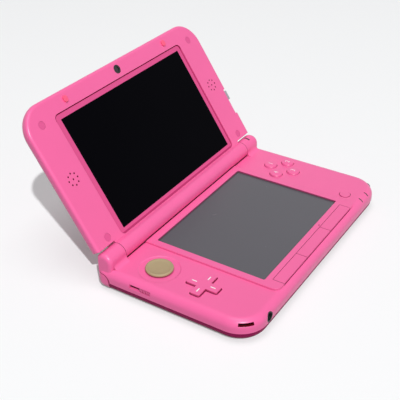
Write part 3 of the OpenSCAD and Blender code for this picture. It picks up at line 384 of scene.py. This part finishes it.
# One material for each slot of the record, and two prints
MATS = {
    "pink_shell": plastic("pink_shell_plastic", PINK, rough=0.34, specular=0.45,
                          seam=PAINTED_SHADE_PINK, shell=True),
    # The lower cover is drawn darker than the shell, as painted shade
    "deep_pink_cover": plastic("cover_plastic_painted_shade", SHADED_COVER_PINK, rough=0.5,
                               specular=0.08),
    # The keys' painted shade reaches further, darkening their side walls
    "pink_keys": plastic("pink_key_plastic", PINK, rough=0.3, soft=0.15, coat=0.08,
                         specular=0.35, seam=PAINTED_SHADE_PINK, reach=3.0, open_at=0.98),
    "frame_plastic": plastic("black_frame_plastic", (0.2, 0.2, 0.21), rough=0.55,
                             bump=0.5),
    "touch_surface": touch_material(),
    "lens_clear": lens_material(),
    "display": plastic("display_backing", (0.12, 0.12, 0.13), rough=0.3, soft=0.1),
    "board_green": board_material(),
    "chip_black": plastic("chip_moulding", (0.09, 0.09, 0.09), rough=0.6, bump=0.7,
                          soft=0.1),
    "sheet_steel": metal("pressed_steel", (0.78, 0.78, 0.79), 0.32),
    "screw_steel": metal("plated_steel", (0.72, 0.72, 0.74), 0.26),
    "pin_steel": metal("turned_steel", (0.76, 0.76, 0.77), 0.22),
    "cell": plastic("cell_wrap", (0.55, 0.56, 0.57), rough=0.4, bump=0.4),
    "pad_rubber": plastic("pad_rubber", PAD_BEIGE, rough=0.62, grain=4200, bump=0.5,
                          vary=0.05),
    "silicone": plastic("silicone_sheet", (0.75, 0.75, 0.76), rough=0.5),
    "socket_black": plastic("socket_plastic", (0.06, 0.06, 0.065), rough=0.45,
                            soft=0.1),
    "light_pipe": plastic("tinted_light_pipe", (0.26, 0.12, 0.16), rough=0.15,
                          soft=0.1),
    "speaker_black": plastic("speaker_cloth", (0.05, 0.05, 0.05), rough=0.8, bump=0.8,
                             soft=0.0),
    "bumper": plastic("salmon_bumper_rubber", (0.96, 0.36, 0.51), rough=0.5, soft=0.2),
    "cover_pad": plastic("screw_plug_plastic", PLUG_PINK, rough=0.55, soft=0.15),
    "knob_grey": plastic("pale_grey_knob", (0.62, 0.61, 0.63), rough=0.4, soft=0.2),
    "pen_black": plastic("pen_plastic", (0.16, 0.16, 0.17), rough=0.4, soft=0.2),
    "camera_black": plastic("camera_window", (0.04, 0.04, 0.045), rough=0.08, bump=0.0,
                            soft=0.1),
    "pale_print": plastic("pale_print", (0.99, 0.80, 0.88), rough=0.45, soft=0.0,
                          vary=0.02),
    "white_print": plastic("white_print", (0.95, 0.92, 0.93), rough=0.45, soft=0.0,
                           vary=0.02),
}


def dress_nodes():
    """Gives every carried-over solid the material of its slot."""
    slots = {p["node"]: p["material_slot"] for p in frame["record"]["subparts"]}
    for name, obj in NODES.items():
        obj.data.materials.clear()
        obj.data.materials.append(MATS[slots[name]])


def add_object(name, data):
    obj = bpy.data.objects.new(name, data)
    bpy.context.scene.collection.objects.link(obj)
    return obj


def add_piece(name, mesh, body, slot, material=None, replaces=None):
    """A piece of the dressed part, in its slot's material or in a print."""
    obj = add_object(name, mesh)
    mesh.materials.append(MATS[material or slot])
    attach(obj, body)
    if replaces:
        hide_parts(replaces)


def to_mesh(bm, name):
    mesh = bpy.data.meshes.new(name)
    bm.to_mesh(mesh)
    bm.free()
    return mesh


def lathe(profile, centre, turns=72):
    """A turned form round a vertical axis, from (radius, height) in millimetres."""
    bm = bmesh.new()
    rings = []
    for r, z in profile:
        angles = [2 * math.pi * i / turns for i in range(turns if r else 1)]
        rings.append([bm.verts.new(((centre[0] + r * math.cos(a)) * MM,
                                    (centre[1] + r * math.sin(a)) * MM, z * MM))
                      for a in angles])
    for low, high in zip(rings, rings[1:]):
        for i in range(turns):
            j = (i + 1) % turns
            if len(low) == 1:
                bm.faces.new((low[0], high[j], high[i]))
            elif len(high) == 1:
                bm.faces.new((low[i], low[j], high[0]))
            else:
                bm.faces.new((low[i], low[j], high[j], high[i]))
    bmesh.ops.recalc_face_normals(bm, faces=bm.faces)
    mesh = to_mesh(bm, "turned")
    mesh.shade_smooth()
    return mesh


def arc(cx, cz, r, a0, a1, steps):
    """Points of an arc in a profile, angles in degrees."""
    angles = [math.radians(a0 + (a1 - a0) * i / steps) for i in range(steps + 1)]
    return [(cx + r * math.cos(a), cz + r * math.sin(a)) for a in angles]


def bar_mark(cx, cy, w, d, z, thick):
    """A thin printed bar lying flat, in millimetres."""
    bm = bmesh.new()
    place = Matrix.Translation((cx * MM, cy * MM, (z + thick / 2) * MM))
    bmesh.ops.create_cube(bm, size=MM, matrix=place @ Matrix.Diagonal((w, d, thick, 1)))
    return to_mesh(bm, "mark")


def numeral(text, cx, cy, z):
    """A plain numeral lying flat, as mesh."""
    curve = bpy.data.curves.new("numeral", "FONT")
    curve.body = text
    curve.size = NUMERAL_SIZE * MM
    curve.align_x = "CENTER"
    curve.align_y = "CENTER"
    curve.extrude = NUMERAL_THICK * MM
    curve.offset = NUMERAL_BOLD * MM
    obj = add_object("numeral", curve)
    bpy.context.view_layer.update()
    mesh = bpy.data.meshes.new_from_object(obj)
    bpy.data.objects.remove(obj)
    mesh.transform(Matrix.Translation((cx * MM, cy * MM, z * MM)))
    return mesh


def make_face_buttons():
    """Four domed keys, each with a plain numeral."""
    profile = [(0, KEY_FLANGE_LOW), (KEY_FLANGE_R, KEY_FLANGE_LOW),
               (KEY_FLANGE_R, KEY_FLANGE_TOP), (KEY_R, KEY_FLANGE_TOP),
               (KEY_R, KEY_SIDE_TOP)]
    profile += arc(KEY_R - KEY_RIM_R, KEY_SIDE_TOP, KEY_RIM_R, 0, KEY_RIM_SWEEP, 6)
    profile += KEY_CROWN + [(0, KEY_TOP)]
    for i in range(4):
        a = math.radians(90 * i)
        cx = KEYS_CENTRE[0] + KEYS_PITCH * math.sin(a)
        cy = KEYS_CENTRE[1] + KEYS_PITCH * math.cos(a)
        number = str(i + 1)
        body = "face_button_" + number
        add_piece("face_button_cap_" + number, lathe(profile, (cx, cy)), body,
                  "pink_keys", replaces="button_" + number)
        add_piece("face_numeral_" + number, numeral(number, cx, cy, KEY_TOP), body,
                  "pink_keys", "pale_print")


def make_circle_pad():
    """Rubber cap with a bevelled rim round a shallow dish."""
    low, top, r = DECK_Z, PAD_TOP, PAD_R
    profile = [(0, PAD_STEM_LOW), (PAD_STEM_R, PAD_STEM_LOW), (PAD_STEM_R, low)]
    profile += [(r - inset, low + rise) for inset, rise in PAD_FOOT]
    profile += [(r, top - PAD_SIDE_DROP)]
    profile += arc(r - PAD_RIM_R, top - PAD_RIM_R, PAD_RIM_R, 0, 90, 8)
    profile += [(r - inset, top - depth) for inset, depth in PAD_DISH]
    profile += [(PAD_DISH_FLOOR_R, top - PAD_DISH_FLOOR), (0, top - PAD_DISH_FLOOR)]
    add_piece("circle_pad_top", lathe(profile, PAD_CENTRE), "pad_cap", "pad_rubber",
              replaces="circle_pad_cap")


def make_cross_marks():
    """One white dash on each arm of the direction cross."""
    for i, (dx, dy) in enumerate(((0, 1), (1, 0), (0, -1), (-1, 0))):
        w, d = (DASH_WIDTH, DASH_LENGTH) if dx == 0 else (DASH_LENGTH, DASH_WIDTH)
        cx = CROSS_CENTRE[0] + DASH_REACH * dx
        cy = CROSS_CENTRE[1] + DASH_REACH * dy
        dash = bar_mark(cx, cy, w, d, CROSS_TOP, DASH_THICK)
        add_piece("cross_dash_%d" % (i + 1), dash, "cross", "pink_keys", "white_print")


def make_camera():
    data = bpy.data.cameras.new("camera")
    data.sensor_width = SENSOR_WIDTH
    data.lens = FOCAL_LENGTH
    data.clip_start = 0.01
    data.clip_end = 10
    cam = add_object("camera", data)
    axes = [Vector(axis) for axis in (CAMERA_RIGHT, CAMERA_UP, CAMERA_BACK)]
    basis = Matrix(axes).transposed().to_4x4()
    cam.matrix_world = Matrix.Translation(CAMERA_PLACE) @ basis
    bpy.context.scene.camera = cam


def make_lamp(name, place, aim, side, power):
    data = bpy.data.lights.new(name, "AREA")
    data.shape = "RECTANGLE"
    data.size = data.size_y = side
    data.energy = power
    obj = add_object(name, data)
    obj.location = place
    obj.rotation_mode = "QUATERNION"
    obj.rotation_quaternion = (Vector(aim) - Vector(place)).to_track_quat("-Z", "Y")


def seen_ray(tree):
    """1 for rays of the camera, of mirrors and of clear things."""
    path = tree.nodes.new("ShaderNodeLightPath")
    total = path.outputs["Is Camera Ray"]
    for kind in ("Is Glossy Ray", "Is Transmission Ray"):
        add = tree.nodes.new("ShaderNodeMath")
        add.operation = "ADD"
        add.use_clamp = True
        tree.links.new(total, add.inputs[0])
        tree.links.new(path.outputs[kind], add.inputs[1])
        total = add.outputs[0]
    return total


def show_mix(tree, factor, first, second, output):
    """Shows the first shader where factor is 0 and the second where it is 1."""
    mix = tree.nodes.new("ShaderNodeMixShader")
    for source, sock in zip((factor, first.outputs[0], second.outputs[0]), mix.inputs):
        tree.links.new(source, sock)
    tree.links.new(mix.outputs[0], tree.nodes[output].inputs["Surface"])


def make_world():
    """Soft light on the model, and white wherever the world is seen."""
    world = bpy.data.worlds.new("studio")
    world.use_nodes = True
    bpy.context.scene.world = world
    tree = world.node_tree
    sky = tree.nodes["Background"]
    seen = tree.nodes.new("ShaderNodeBackground")
    for background, strength in ((sky, SKY_STRENGTH), (seen, 1.0)):
        background.inputs["Color"].default_value = (1, 1, 1, 1)
        background.inputs["Strength"].default_value = strength
    show_mix(tree, seen_ray(tree), sky, seen, "World Output")


def make_floor():
    """White table that shows white to the camera and keeps the shadow."""
    bm = bmesh.new()
    bmesh.ops.create_grid(bm, x_segments=1, y_segments=1, size=3)
    mesh = to_mesh(bm, "table_top")
    floor = add_object("table_top", mesh)
    floor.location = (0, 0, TABLE_Z)
    mat = bpy.data.materials.new("table_white")
    mat.use_nodes = True
    tree = mat.node_tree
    bsdf = tree.nodes["Principled BSDF"]
    bsdf.inputs["Roughness"].default_value = 0.7
    bsdf.inputs["Specular IOR Level"].default_value = 0.1
    tone = tree.nodes.new("ShaderNodeMix")
    tone.data_type = "RGBA"
    tone.inputs[6].default_value = TABLE_HIDDEN
    tone.inputs[7].default_value = TABLE_SEEN
    tree.links.new(seen_ray(tree), tone.inputs["Factor"])
    tree.links.new(tone.outputs[2], bsdf.inputs["Base Color"])
    glow = tree.nodes.new("ShaderNodeEmission")
    share = tree.nodes.new("ShaderNodeMath")
    share.operation = "MULTIPLY"
    share.inputs[1].default_value = TABLE_GLOW
    tree.links.new(seen_ray(tree), share.inputs[0])
    show_mix(tree, share.outputs[0], bsdf, glow, "Material Output")
    mesh.materials.append(mat)


bpy.context.scene.view_settings.view_transform = "Standard"
make_camera()
dress_nodes()
make_face_buttons()
make_circle_pad()
make_cross_marks()
for lamp in LAMPS:
    make_lamp(*lamp)
make_world()
make_floor()
